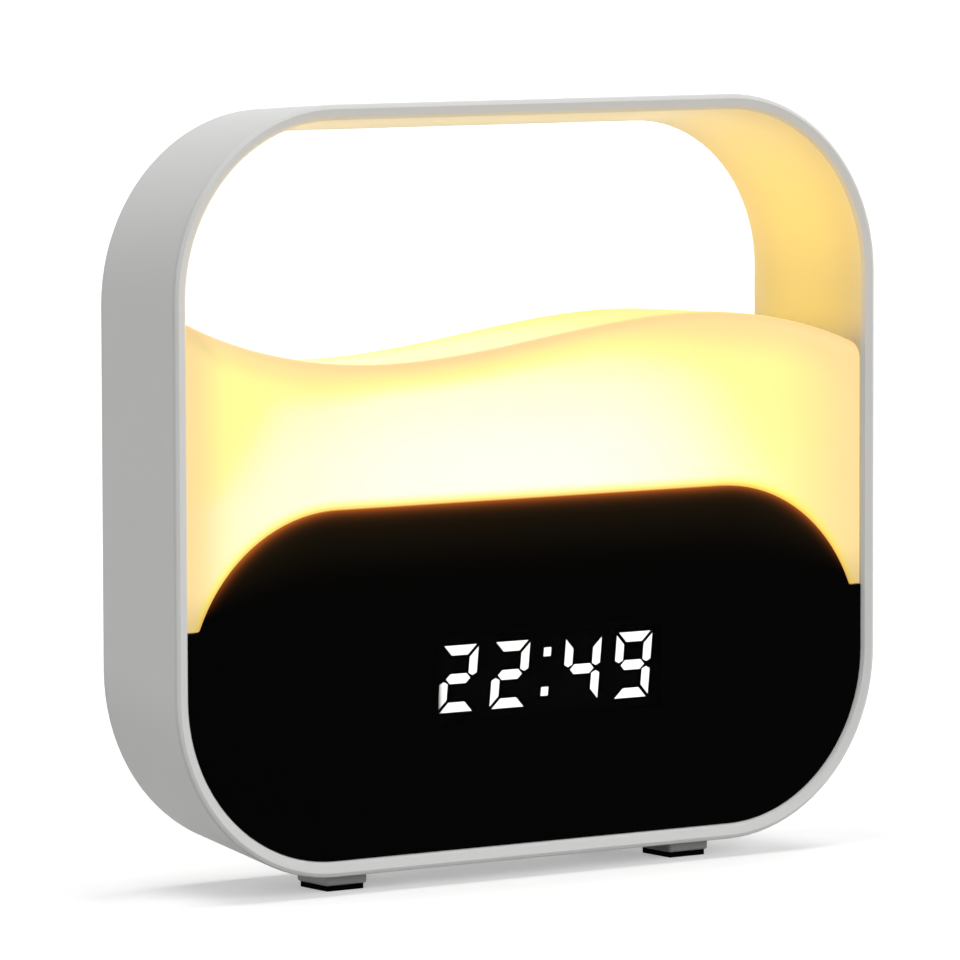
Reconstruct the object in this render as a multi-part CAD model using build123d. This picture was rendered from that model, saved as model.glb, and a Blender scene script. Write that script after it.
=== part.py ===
from build123d import *
import os
from math import atan, cos, degrees, radians, sin, sqrt, tan

# Night light alarm clock, in millimetres. +X is right as seen from the front, the front faces -Y,
# +Z is up. The origin is on the floor, in the middle of the width and the depth.
# Depths are measured back from the front rim, heights up from the lowest line of the ring.

# Ring: the outline is that of the front rim. Towards the back each side closes in by its own draft,
# and the inside by the inner draft all round.
ring_width = 168.4
ring_height = 149.5
ring_depth = 32.4
corner_radius = 36.6
back_corner_radius = 37.2
width_draft = 3.77
top_draft = 1.85
bottom_draft = 2.5
inner_draft = 3.3
ring_wall = 3.0
rim_bevel_width = 0.9
rim_bevel_depth = 0.5
rim_round = 0.8
rim_steps = 4
rim_land = 0.1
rim_fall = 0.53
rim_chamfer = 0.5
back_round = 0.3

# Feet: a grey block pegged into the ring, with a rubber pad under it. The rear pair's inset is
# measured from the back face.
foot_height = 3.6
pad_width = 8.5
front_pad_depth = 9.3
rear_pad_depth = 5.0
pad_thickness = 1.1
foot_margin = 0.6
foot_round = 0.6
front_foot_spacing = 82.8
rear_foot_spacing = 62.0
front_foot_setback = 11.2
rear_foot_inset = 4.2
peg_radius = 1.5
peg_fit = 0.05
peg_setback = 0.6
peg_cover_gap = 0.6

# Display lens: black panel with rounded shoulders and a step at each side
lens_recess = 0.8
lens_thickness = 2.0
lens_top = 71.2
lens_corner_radius = 34.6
lens_shoulder_gap = 0.5
lens_step_height = 49.45
lens_step_round = 0.6
lens_edge = 0.2
seat_gap = 0.15

# Diffuser hood: its top is a wave, given as share of the half opening and height
diffuser_recess = 1.2
hood_front_wall = 3.6
hood_side_wall = 1.8
hood_top_wall = 2.2
hood_lap = 1.5
lap_gap = 0.2
hood_back_setback = 2.0
hood_edge_round = 3.0
wave_fall = 0.7
wave_points = [(-1.02, 110.1), (-0.74, 101.8), (-0.44, 99.0), (0.02, 102.3),
               (0.48, 106.1), (0.74, 104.5), (1.02, 97.8)]

# Rear cover, let into a rabbet of the ring
cover_recess = 1.4
cover_thickness = 2.4
cover_rabbet = 1.0
cover_gap = 0.15

# Front carrier: plate behind the lens, with posts for the rear cover's screws
carrier_thickness = 2.0
post_radius = 3.2
post_floor_gap = 1.9
post_side_gap = 6.7
window_gap = 0.3

# Screws
pilot_radius = 1.15
shank_radius = 1.1
clearance_radius = 1.5
head_radius = 2.3
head_height = 1.1
head_gap = 0.3
slot_length = 3.2
slot_width = 0.5
slot_depth = 0.5
cover_screw_length = 10.0
board_screw_length = 4.0
pilot_spare = 1.2

# Display module and its board
display_x = 4.0
display_height = 36.5
digit_height = 13.1
digit_width = 8.7
digit_pitch = 12.4
colon_room = 5.0
stroke = 1.95
segment_gap = 0.7
digit_slant = 5.5
segment_depth = 0.5
colon_dot = 1.75
colon_spread = 7.8
module_side = 2.4
module_height = 19.0
module_depth = 8.0
lens_air = 0.2
board_thickness = 1.6
display_board_side = 14.0
display_board_rise = 3.5
standoff_radius = 2.5
standoff_inset = 4.0

# Lamp: white tray behind the hood, with a strip of light-emitting diodes
tray_drop = 12.0
tray_wall = 1.6
tray_gap = 0.3
led_board_height = 14.0
led_board_inset = 14.0
led_count = 10
led_pitch = 11.0
led_width = 3.5
led_height = 2.8
led_depth = 0.8
tray_boss_spacing = 80.0
tray_boss_rise = 4.5

# Set buttons in the rear cover, each on a push switch
button_names = ["mode", "down", "light", "up", "alarm"]
button_pitch = 16.0
button_radius = 4.5
button_gap = 0.3
button_proud = 1.0
button_round = 0.7
button_travel = 0.5
flange_width = 1.2
flange_thickness = 1.0
flange_gap = 0.1
stem_radius = 2.2
stem_length = 0.3
switch_size = 6.0
switch_height = 3.4
plunger_radius = 1.75
plunger_proud = 0.7
plunger_inset = 0.4
plunger_gap = 0.1
plunger_spare = 0.2

# Main board
board_gap = 1.4
button_row_rise = 2.0
chip_size = 10.0
chip_thickness = 1.4
chip_x = 20.0
connector_length = 20.0
connector_width = 5.0
connector_x = -18.0

# Power inlet
usb_width = 8.94
usb_height = 3.26
usb_wall = 0.3
usb_base = 1.2
usb_gap = 0.3
usb_rise = 4.8
usb_mouth_setback = 0.4
tongue_width = 6.7
tongue_thickness = 0.7
tongue_setback = 0.8

# Battery
battery_length = 50.0
battery_height = 20.0
battery_thickness = 10.0
battery_gap = 0.2
battery_rib = 1.2
battery_rib_length = 6.0
battery_floor_gap = 0.6
battery_board_thickness = 1.2
battery_board_margin = 2.0

# Speaker in the lower right corner
speaker_radius = 12.5
speaker_gap = 2.4
speaker_board_gap = 0.6
speaker_angle = -48.0
speaker_flange = 2.3
speaker_flange_thickness = 1.2
speaker_neck_radius = 7.6
basket_depth = 5.4
basket_wall = 0.8
magnet_radius = 7.0
magnet_thickness = 3.0
cone_thickness = 0.4
cone_room = 0.9
cap_radius = 3.5
grille_hole_radius = 0.9
grille_ring_step = 3.2
grille_rings = 3

# Places that follow from the sizes above
front_y = -ring_depth / 2
slope = inner_draft / ring_depth
half_opening = ring_width / 2 - ring_wall
corner_x = ring_width / 2 - corner_radius
lens_back = lens_recess + lens_thickness
carrier_back = lens_back + carrier_thickness
hood_wall_back = diffuser_recess + hood_front_wall
hood_back = ring_depth - hood_back_setback
cover_outer = ring_depth - cover_recess
cover_inner = cover_outer - cover_thickness
hood_side_back = cover_inner - lap_gap
module_front = lens_back + lens_air
module_back = module_front + module_depth
display_board_back = module_back + board_thickness
flange_back = cover_inner - flange_gap
flange_front = flange_back - flange_thickness
plunger_end = flange_front - stem_length
switch_end = plunger_end - plunger_proud
main_board_back = switch_end - switch_height
main_board_front = main_board_back - board_thickness
tray_front = hood_wall_back + tray_gap
tray_plate_front = cover_inner - tray_wall
led_board_front = tray_plate_front - board_thickness
screw_seat = cover_outer - head_height
screw_tip = screw_seat - cover_screw_length
past = 1.0

tray_floor = lens_top - tray_drop
inner_floor = ring_wall + cover_inner * slope
battery_bottom = inner_floor + battery_floor_gap + battery_rib + battery_gap
battery_top = battery_bottom + battery_height
main_board_top = tray_floor - board_gap
main_board_bottom = battery_top + battery_gap + battery_rib + board_gap
button_row = (main_board_top + main_board_bottom) / 2 + button_row_rise
usb_row = main_board_bottom + usb_rise
speaker_offset = corner_radius - ring_wall - cover_inner * slope - speaker_radius - speaker_gap
speaker_x = corner_x + speaker_offset * cos(radians(speaker_angle))
speaker_height = corner_radius + speaker_offset * sin(radians(speaker_angle))
main_board_half = speaker_x - speaker_radius - speaker_board_gap
lower_post_height = inner_floor + post_floor_gap + post_radius
upper_post_x = half_opening - cover_inner * slope - hood_side_wall - post_side_gap - post_radius
upper_post_height = tray_floor - board_gap - post_radius
tray_boss_height = tray_floor + tray_wall + led_board_height + tray_boss_rise + post_radius
post_places = [(side * corner_x, lower_post_height) for side in (-1, 1)]
post_places += [(side * upper_post_x, upper_post_height) for side in (-1, 1)]
tray_boss_places = [(side * tray_boss_spacing / 2, tray_boss_height) for side in (-1, 1)]
button_places = [((i - 2) * button_pitch, button_row) for i in range(len(button_names))]


# Solids are drawn in the front view, in x and height, and run between two depths

def front_plane(depth):
    """Plane of the front view at a depth, in heights above the ring's lowest line."""
    return Plane(origin=(0, front_y + depth, foot_height), x_dir=(1, 0, 0), z_dir=(0, -1, 0))


def prism(sketch, near, far):
    """Straight solid of a front view sketch between two depths."""
    return extrude(front_plane(far) * sketch, amount=far - near)


def rod(place, radius, near, far):
    """Round bar along the depth."""
    return prism(Pos(*place) * Circle(radius), near, far)


def block(left, right, low, high, near, far):
    """Square bar along the depth."""
    middle = Pos((left + right) / 2, (low + high) / 2)
    return prism(middle * Rectangle(right - left, high - low), near, far)


def ring_form(inset, near, far, rate=slope):
    """The inside of the ring at its wall, or at another inset or rate of closing in."""
    shrink = inset + near * rate
    outline = RectangleRounded(ring_width - 2 * shrink, ring_height - 2 * shrink,
                               corner_radius - shrink)
    plane = Plane(origin=(0, front_y + near, foot_height + ring_height / 2),
                  x_dir=(1, 0, 0), z_dir=(0, 1, 0))
    return extrude(plane * outline, amount=far - near, taper=degrees(atan(rate)))


def outer_form(stations):
    """The outside of the ring, ruled between outlines that are given as depth and inset."""
    outlines = []
    for depth, inset in stations:
        share = depth / ring_depth
        low = share * bottom_draft + inset
        high = ring_height - share * top_draft - inset
        radius = corner_radius + share * (back_corner_radius - corner_radius) - inset
        outline = RectangleRounded(ring_width - 2 * share * width_draft - 2 * inset, high - low, radius)
        plane = Plane(origin=(0, front_y + depth, foot_height + (low + high) / 2),
                      x_dir=(1, 0, 0), z_dir=(0, 1, 0))
        outlines.append(plane * outline)
    return loft(outlines, ruled=True)


def turned(place, profile):
    """Turned solid about a depth axis, from points of radius and depth."""
    plane = Plane(origin=(place[0], front_y, foot_height + place[1]),
                  x_dir=(1, 0, 0), z_dir=(0, 0, 1))
    face = plane * make_face(Polyline(*profile, close=True))
    return revolve(face, Axis(plane.origin, (0, 1, 0)))


def wave_form(drop, near, far):
    """All that lies under the wave, let down by a drop, between two depths."""
    fall = wave_fall / (hood_back - diffuser_recess)
    lift = -drop - (near - diffuser_recess) * fall
    points = [(share * half_opening, height + lift) for share, height in wave_points]
    low = -ring_height / 2
    skirt = Polyline(points[-1], (points[-1][0], low), (points[0][0], low), points[0])
    region = make_face([Spline(*points), skirt])
    run = Vector(0, far - near, -(far - near) * fall)
    return extrude(front_plane(near) * region, amount=run.length, dir=run.normalized())


def lens_outline(grow):
    """Front view of the lens down to below the ring, grown by a margin."""
    half = half_opening - lens_shoulder_gap + grow
    low = -ring_height / 2
    top = lens_top + grow
    panel = Pos(0, (low + top) / 2) * Rectangle(2 * half, top - low)
    panel = fillet(panel.vertices().group_by(Axis.Y)[-1], lens_corner_radius + grow)
    step = lens_step_height + grow
    below = Pos(0, (low + step) / 2) * Rectangle(2 * ring_width, step - low)
    outline = panel + below
    kinks = [v for v in outline.vertices() if abs(v.X) < ring_width / 2 and abs(v.Y - step) < lap_gap]
    return fillet(kinks, lens_step_round)


def screw(place, seat, length, way):
    """Pan head screw with a crossed slot; way is -1 when it is driven towards the front."""
    head_end = seat - way * head_height
    tip = seat + way * length
    shape = rod(place, shank_radius, min(seat, tip), max(seat, tip))
    shape += rod(place, head_radius, min(seat, head_end), max(seat, head_end))
    slot_end = head_end + way * slot_depth
    x, z = place
    for width, height in ((slot_length, slot_width), (slot_width, slot_length)):
        shape -= block(x - width / 2, x + width / 2, z - height / 2, z + height / 2,
                       min(head_end, slot_end), max(head_end, slot_end))
    return shape


# Ring shell: one drafted band, rounded at the rim, with the rabbet for the rear cover

foot_places = {}
for end, spacing, setback, pad_depth in (
        ("front", front_foot_spacing, front_foot_setback, front_pad_depth),
        ("rear", rear_foot_spacing, ring_depth - rear_foot_inset, rear_pad_depth)):
    for side, sign in (("left", -1), ("right", 1)):
        foot_places[f"{end}_{side}"] = (sign * spacing / 2, setback, pad_depth)


def peg(place, radius, low, high):
    """Upright round peg at a foot, between two heights above the floor."""
    x, setback, pad_depth = place
    depth = min(setback, cover_inner - peg_radius - peg_cover_gap)
    return Pos(x, front_y + depth, (low + high) / 2) * Cylinder(radius, high - low)


def make_ring_shell():
    turn = atan(rim_bevel_width / rim_bevel_depth)
    run = rim_round * tan(turn / 2)
    stations = [(0, rim_bevel_width)]
    for step in range(rim_steps + 1):
        angle = turn * (1 - step / rim_steps)
        stations.append((rim_bevel_depth + run - rim_round * sin(angle), rim_round * (1 - cos(angle))))
    stations += [(ring_depth - back_round, 0), (ring_depth, back_round)]
    ring = outer_form(stations)
    ring -= ring_form(ring_wall, -past, ring_depth + past)
    inward = ring_wall - rim_bevel_width - rim_land
    bevel_start = rim_fall * (inward - rim_chamfer) / inward
    ring -= ring_form(rim_bevel_width + rim_land, 0, rim_fall, inward / rim_fall)
    ring -= ring_form(ring_wall - rim_chamfer - bevel_start, 0, bevel_start + 2 * rim_chamfer, 1)
    rabbet = ring_form(ring_wall - cover_rabbet, cover_inner, ring_depth + past)
    ring -= rabbet & wave_form(hood_top_wall, cover_inner, ring_depth + past)
    for place in foot_places.values():
        ring -= peg(place, peg_radius + peg_fit, 0, foot_height + 3 * ring_wall)
    return ring


# Feet

def make_foot_block(place):
    x, setback, pad_depth = place
    base = foot_height + setback * bottom_draft / ring_depth
    top = base + ring_wall / 2
    width = pad_width + 2 * foot_margin
    depth = pad_depth + 2 * foot_margin
    foot = Box(width, depth, top - pad_thickness)
    foot = fillet(foot.edges().filter_by(Axis.Z), foot_round)
    foot = fillet(foot.faces().sort_by(Axis.Z)[0].edges(), foot_round)
    foot = Pos(x, front_y + setback, (top + pad_thickness) / 2) * foot
    foot -= outer_form([(-past, 0), (ring_depth + past, 0)])
    return foot + peg(place, peg_radius, pad_thickness + foot_round, base + ring_wall - peg_setback)


def make_foot_pad(place):
    x, setback, pad_depth = place
    return Pos(x, front_y + setback, pad_thickness / 2) * Box(pad_width, pad_depth, pad_thickness)


# Display lens and the carrier behind it

def make_display_lens():
    lens = prism(lens_outline(0), lens_recess, lens_back)
    lens &= ring_form(ring_wall + seat_gap, lens_recess, lens_back)
    step = foot_height + lens_step_height - lens_edge
    free_edges = [e for e in lens.faces().sort_by(Axis.Y)[0].edges() if e.center().Z > step]
    return chamfer(free_edges, lens_edge)


module_left = -(3 * digit_pitch + colon_room + digit_width) / 2 - module_side
module_right = -module_left
window = (display_x + module_left - window_gap, display_x + module_right + window_gap,
          display_height - module_height / 2 - window_gap, display_height + module_height / 2 + window_gap)
display_board_half = module_right + display_board_side
display_board_low = display_height - module_height / 2 - display_board_rise
display_board_high = display_height + module_height / 2 + display_board_rise
display_standoffs = [(display_x + side * (display_board_half - standoff_inset), height)
                     for side in (-1, 1)
                     for height in (display_board_low + standoff_inset, display_board_high - standoff_inset)]


def make_front_carrier():
    plate = prism(lens_outline(-hood_lap - lap_gap), lens_back, carrier_back)
    plate &= ring_form(ring_wall + seat_gap, lens_back, carrier_back)
    plate -= block(*window, lens_back - past, carrier_back + past)
    for place in post_places:
        plate += rod(place, post_radius, carrier_back, cover_inner)
        plate -= rod(place, pilot_radius, screw_tip - pilot_spare, cover_inner + past)
    for place in display_standoffs:
        plate += rod(place, standoff_radius, carrier_back, module_back)
        plate -= rod(place, pilot_radius, module_back - board_screw_length, module_back + past)
    return plate


# Diffuser hood: milky shell, open at the back and the bottom, whose front laps behind the lens

def make_diffuser():
    hood = ring_form(ring_wall + seat_gap, diffuser_recess, hood_back)
    hood &= wave_form(0, diffuser_recess - past, hood_back + past)
    wave_edge = hood.edges().filter_by(GeomType.BSPLINE).sort_by(Axis.Y)[0]
    hood = fillet(wave_edge, hood_edge_round)
    hollow = ring_form(ring_wall + seat_gap + hood_side_wall, hood_wall_back, ring_depth)
    hood -= hollow & wave_form(hood_top_wall, hood_wall_back, ring_depth)
    hood -= wave_form(hood_top_wall, hood_side_back, ring_depth)
    hood -= prism(lens_outline(seat_gap), 0, lens_back)
    hood -= prism(lens_outline(-hood_lap), lens_back, hood_wall_back)
    step = lens_step_height + seat_gap
    return hood - block(-ring_width, ring_width, -past, step, hood_wall_back, ring_depth)


# Display module: black block with lit and unlit bars let into its face

def digit_bars():
    """Outlines of the seven bars of a digit, from its lower left corner."""
    w, h, t = digit_width, digit_height, stroke
    g = segment_gap / sqrt(2)
    middle = h / 2
    top = [(g, h), (w - g, h), (w - t - g, h - t), (t + g, h - t)]
    centre = [(t / 2 + g, middle), (t + g, middle + t / 2), (w - t - g, middle + t / 2),
              (w - t / 2 - g, middle), (w - t - g, middle - t / 2), (t + g, middle - t / 2)]
    upper_right = [(w, h - g), (w, middle + t / 2), (w - t / 2, middle + g),
                   (w - t, middle + t / 2), (w - t, h - t - g)]
    upper_left = [(w - x, z) for x, z in upper_right]
    return {"top": top, "centre": centre, "bottom": [(x, h - z) for x, z in top],
            "upper_right": upper_right, "lower_right": [(x, h - z) for x, z in upper_right],
            "upper_left": upper_left, "lower_left": [(x, h - z) for x, z in upper_left]}


lit_bars = {"2": ["top", "upper_right", "centre", "lower_left", "bottom"],
            "4": ["upper_left", "centre", "upper_right", "lower_right"],
            "9": ["top", "upper_left", "upper_right", "centre", "lower_right", "bottom"]}
shown_digits = "2249"


def bar_solid(points, left):
    """One bar of the display, slanted, from its outline and the digit's left edge."""
    lean = tan(radians(digit_slant))
    base = display_height - digit_height / 2
    slanted = [(left + x + (z - digit_height / 2) * lean, base + z) for x, z in points]
    return prism(make_face(Polyline(*slanted, close=True)), module_front, module_front + segment_depth)


def make_segments():
    """Lit and unlit bars, two lists of solids."""
    lit, unlit = [], []
    first = display_x + module_left + module_side
    for i, shown in enumerate(shown_digits):
        left = first + i * digit_pitch + (colon_room if i > 1 else 0)
        for name, points in digit_bars().items():
            bars = lit if name in lit_bars[shown] else unlit
            bars.append(bar_solid(points, left))
    dot_left = first + digit_pitch + digit_width
    dot_left += (digit_pitch - digit_width + colon_room - colon_dot) / 2
    for way in (-1, 1):
        middle = digit_height / 2 + way * colon_spread / 2
        low, high = middle - colon_dot / 2, middle + colon_dot / 2
        dot = [(0, low), (colon_dot, low), (colon_dot, high), (0, high)]
        lit.append(bar_solid(dot, dot_left))
    return lit, unlit


def make_display_module(bars):
    module = block(display_x + module_left, display_x + module_right,
                   display_height - module_height / 2, display_height + module_height / 2,
                   module_front, module_back)
    for bar in bars:
        module -= bar
    return module


def make_display_board():
    board = block(display_x - display_board_half, display_x + display_board_half,
                  display_board_low, display_board_high, module_back, display_board_back)
    for place in display_standoffs:
        board -= rod(place, clearance_radius, module_back - past, display_board_back + past)
    return board


# Lamp: tray, board and diodes

led_board_half = half_opening - cover_inner * slope - hood_side_wall - led_board_inset
led_board_low = tray_floor + tray_wall
led_row = led_board_low + led_board_height / 2


def make_reflector_tray():
    inset = ring_wall + seat_gap + hood_side_wall + tray_gap
    room = ring_form(inset, tray_front, cover_inner)
    room &= wave_form(hood_top_wall + tray_gap, tray_front, cover_inner)
    shelf = block(-ring_width, ring_width, tray_floor, tray_floor + tray_wall, tray_front, cover_inner)
    plate = block(-ring_width, ring_width, tray_floor, ring_height, tray_plate_front, cover_inner)
    tray = room & (shelf + plate)
    for place in tray_boss_places:
        tray += rod(place, post_radius, screw_tip - 2 * pilot_spare, tray_plate_front)
        tray -= rod(place, pilot_radius, screw_tip - pilot_spare, cover_inner + past)
    return tray


def make_led_board():
    return block(-led_board_half, led_board_half, led_board_low, led_board_low + led_board_height,
                 led_board_front, tray_plate_front)


def make_lamp_leds():
    first = -(led_count - 1) * led_pitch / 2
    return [block(first + i * led_pitch - led_width / 2, first + i * led_pitch + led_width / 2,
                  led_row - led_height / 2, led_row + led_height / 2,
                  led_board_front - led_depth, led_board_front) for i in range(led_count)]


# Rear cover with its holes, board standoffs and battery ribs

main_standoffs = [(side * (main_board_half - standoff_inset), height)
                  for side in (-1, 1)
                  for height in (main_board_bottom + standoff_inset, main_board_top - standoff_inset)]
battery_room = (-battery_length / 2 - battery_gap,
                battery_length / 2 + battery_board_thickness + battery_gap,
                battery_bottom - battery_gap, battery_top + battery_gap)


def make_rear_cover():
    cover = ring_form(ring_wall - cover_rabbet + cover_gap, cover_inner, cover_outer)
    cover &= wave_form(hood_top_wall + lap_gap, cover_inner, cover_outer)
    for place in button_places:
        cover -= rod(place, button_radius + button_gap, cover_inner - past, cover_outer + past)
    for place in post_places + tray_boss_places:
        cover -= rod(place, clearance_radius, cover_inner - past, cover_outer + past)
        cover -= rod(place, head_radius + head_gap, screw_seat, cover_outer + past)
    usb_hole = SlotOverall(usb_width + 2 * usb_gap, usb_height + 2 * usb_gap)
    cover -= prism(Pos(0, usb_row) * usb_hole, cover_inner - past, cover_outer + past)
    for ring in range(grille_rings):
        for turn in range(max(1, 6 * ring)):
            angle = radians(360 * turn / max(1, 6 * ring))
            hole = (speaker_x + ring * grille_ring_step * cos(angle),
                    speaker_height + ring * grille_ring_step * sin(angle))
            cover -= rod(hole, grille_hole_radius, cover_inner - past, cover_outer + past)
    for place in main_standoffs:
        cover += rod(place, standoff_radius, main_board_back, cover_inner)
        cover -= rod(place, pilot_radius, main_board_back - past, main_board_back + board_screw_length)
    left, right, low, high = battery_room
    ribs = block(left - battery_rib, right + battery_rib, low - battery_rib, high + battery_rib,
                 cover_inner - battery_rib_length, cover_inner)
    ribs -= block(left, right, low, high, cover_inner - battery_rib_length, cover_inner)
    return cover + ribs


# Set buttons: a cap with a retaining flange, and the switch plunger that it rests on

def make_button_cap(place):
    cap = rod(place, button_radius, flange_back, cover_outer + button_proud)
    cap = fillet(cap.faces().sort_by(Axis.Y)[-1].edges(), button_round)
    cap += rod(place, button_radius + flange_width, flange_front, flange_back)
    return cap + rod(place, stem_radius, plunger_end, flange_front)


def make_plunger(place):
    return rod(place, plunger_radius, switch_end - plunger_inset, plunger_end)


def make_switch(place):
    x, z = place
    half = switch_size / 2
    body = block(x - half, x + half, z - half, z + half, main_board_back, switch_end)
    depth = plunger_inset + button_travel + plunger_spare
    return body - rod(place, plunger_radius + plunger_gap, switch_end - depth, switch_end + past)


# Main board and what stands on it

def make_main_board():
    board = block(-main_board_half, main_board_half, main_board_bottom, main_board_top,
                  main_board_front, main_board_back)
    for place in main_standoffs:
        board -= rod(place, clearance_radius, main_board_front - past, main_board_back + past)
    return board


def make_controller_chip():
    half = chip_size / 2
    return block(chip_x - half, chip_x + half, button_row - half, button_row + half,
                 main_board_front - chip_thickness, main_board_front)


def make_board_connector():
    half = connector_length / 2
    return block(connector_x - half, connector_x + half, button_row - connector_width / 2,
                 button_row + connector_width / 2, display_board_back, main_board_front)


usb_mouth = cover_outer - usb_mouth_setback


def make_usb_socket():
    middle = Pos(0, usb_row)
    outer = SlotOverall(usb_width, usb_height)
    inner = SlotOverall(usb_width - 2 * usb_wall, usb_height - 2 * usb_wall)
    shell = prism(middle * outer, main_board_back, usb_mouth)
    return shell - prism(middle * inner, main_board_back + usb_base, usb_mouth + past)


def make_usb_tongue():
    return block(-tongue_width / 2, tongue_width / 2, usb_row - tongue_thickness / 2,
                 usb_row + tongue_thickness / 2, main_board_back + usb_base, usb_mouth - tongue_setback)


# Battery cell with its protection board

def make_battery_cell():
    cell = block(-battery_length / 2, battery_length / 2, battery_bottom, battery_top,
                 cover_inner - battery_gap - battery_thickness, cover_inner - battery_gap)
    return fillet(cell.edges().filter_by(Axis.X), battery_rib)


def make_battery_board():
    end = battery_length / 2
    margin = battery_board_margin
    return block(end, end + battery_board_thickness, battery_bottom + margin, battery_top - margin,
                 cover_inner - battery_gap - battery_thickness + margin, cover_inner - battery_gap - margin)


# Speaker behind the grille

basket_end = cover_inner - basket_depth
cone_rim = speaker_radius - speaker_flange
cone_back = basket_end + basket_wall + cone_room


def make_speaker_frame():
    step = cover_inner - speaker_flange_thickness
    profile = [(speaker_radius, cover_inner), (speaker_radius, step), (cone_rim + basket_wall, step),
               (speaker_neck_radius + basket_wall, basket_end), (0, basket_end),
               (0, basket_end + basket_wall), (speaker_neck_radius, basket_end + basket_wall),
               (cone_rim, step), (cone_rim, cover_inner)]
    return turned((speaker_x, speaker_height), profile)


def make_speaker_cone():
    rim = cover_inner - speaker_flange_thickness
    t = cone_thickness
    profile = [(cone_rim - basket_wall, rim), (cap_radius, cone_back), (0, cone_back),
               (0, cone_back + t), (cap_radius, cone_back + t), (cone_rim - basket_wall, rim + t),
               (cone_rim, rim + t), (cone_rim, rim)]
    return turned((speaker_x, speaker_height), profile)


def make_speaker_magnet():
    return rod((speaker_x, speaker_height), magnet_radius, basket_end - magnet_thickness, basket_end)


# Put the clock together and write one file for each piece

lit_segments, unlit_segments = make_segments()
nodes = {
    "ring_shell": make_ring_shell(),
    "display_lens": make_display_lens(),
    "front_carrier": make_front_carrier(),
    "diffuser": make_diffuser(),
    "display_module": make_display_module(lit_segments + unlit_segments),
    "lit_segments": Compound(lit_segments),
    "unlit_segments": Compound(unlit_segments),
    "display_board": make_display_board(),
    "reflector_tray": make_reflector_tray(),
    "led_board": make_led_board(),
    "lamp_leds": Compound(make_lamp_leds()),
    "rear_cover": make_rear_cover(),
    "switch_bodies": Compound([make_switch(place) for place in button_places]),
    "main_board": make_main_board(),
    "controller_chip": make_controller_chip(),
    "board_connector": make_board_connector(),
    "usb_socket": make_usb_socket(),
    "usb_tongue": make_usb_tongue(),
    "battery_cell": make_battery_cell(),
    "battery_board": make_battery_board(),
    "speaker_frame": make_speaker_frame(),
    "speaker_cone": make_speaker_cone(),
    "speaker_magnet": make_speaker_magnet(),
    "cover_screws": Compound([screw(place, screw_seat, cover_screw_length, -1)
                              for place in post_places + tray_boss_places]),
    "display_screws": Compound([screw(place, display_board_back, board_screw_length, -1)
                                for place in display_standoffs]),
    "board_screws": Compound([screw(place, main_board_front, board_screw_length, 1)
                              for place in main_standoffs]),
}
for name, place in zip(button_names, button_places):
    nodes[f"button_{name}"] = make_button_cap(place)
    nodes[f"plunger_{name}"] = make_plunger(place)
for name, place in foot_places.items():
    nodes[f"foot_block_{name}"] = make_foot_block(place)
    nodes[f"foot_pad_{name}"] = make_foot_pad(place)

os.makedirs("parts", exist_ok=True)
for name, shape in nodes.items():
    export_step(shape, f"parts/{name}.step")
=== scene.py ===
from math import pi, radians

import bpy
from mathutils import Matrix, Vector


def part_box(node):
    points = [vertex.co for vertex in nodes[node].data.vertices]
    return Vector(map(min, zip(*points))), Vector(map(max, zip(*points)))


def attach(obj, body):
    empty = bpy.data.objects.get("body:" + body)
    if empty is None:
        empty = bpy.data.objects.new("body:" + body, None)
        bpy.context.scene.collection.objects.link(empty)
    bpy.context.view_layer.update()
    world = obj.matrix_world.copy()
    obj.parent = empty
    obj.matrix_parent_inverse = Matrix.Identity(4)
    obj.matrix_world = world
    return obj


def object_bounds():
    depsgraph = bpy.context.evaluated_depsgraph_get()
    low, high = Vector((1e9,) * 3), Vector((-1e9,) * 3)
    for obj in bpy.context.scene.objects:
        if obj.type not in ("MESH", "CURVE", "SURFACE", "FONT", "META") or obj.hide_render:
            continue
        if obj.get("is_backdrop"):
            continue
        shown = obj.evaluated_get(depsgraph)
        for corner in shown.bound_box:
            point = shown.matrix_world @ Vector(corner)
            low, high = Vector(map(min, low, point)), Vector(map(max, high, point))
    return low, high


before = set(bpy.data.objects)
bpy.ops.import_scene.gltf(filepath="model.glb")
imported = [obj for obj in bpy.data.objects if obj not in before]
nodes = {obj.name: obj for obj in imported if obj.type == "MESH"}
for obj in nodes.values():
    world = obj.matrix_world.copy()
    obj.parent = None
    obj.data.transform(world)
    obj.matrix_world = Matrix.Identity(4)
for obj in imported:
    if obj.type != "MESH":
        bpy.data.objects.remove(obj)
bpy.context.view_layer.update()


# Ring shell: one injection-moulded band of pale grey plastic, drafted so that it leaves its mould.
# Its upper half is the handle and its lower half the case. The spark-eroded mould leaves a satin skin.

shell_grey = (0.72, 0.72, 0.71)


def add_node(tree, kind, feeds=None, **settings):
    """Add a shader node; feeds gives its inputs, each a value or a socket to link from."""
    made = tree.nodes.new("ShaderNode" + kind)
    for name, value in settings.items():
        setattr(made, name, value)
    for name, value in (feeds or {}).items():
        if isinstance(value, bpy.types.NodeSocket):
            tree.links.new(value, made.inputs[name])
        else:
            made.inputs[name].default_value = value
    return made


def calc(tree, operation, *terms):
    """Output of a Math node."""
    return add_node(tree, "Math", dict(enumerate(terms)), operation=operation).outputs[0]


def noise(tree, place, scale, detail=2.0):
    """Noise between 0 and 1 at a place."""
    return add_node(tree, "TexNoise", {"Vector": place, "Scale": scale, "Detail": detail}).outputs["Fac"]


def tinted(tree, colour, amount):
    """A colour made lighter or darker by an amount."""
    return add_node(tree, "VectorMath", {0: colour, "Scale": amount}, operation="SCALE").outputs[0]


def object_place(tree):
    """Place on the piece, in metres from the object's origin."""
    return add_node(tree, "TexCoord").outputs["Object"]


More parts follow.
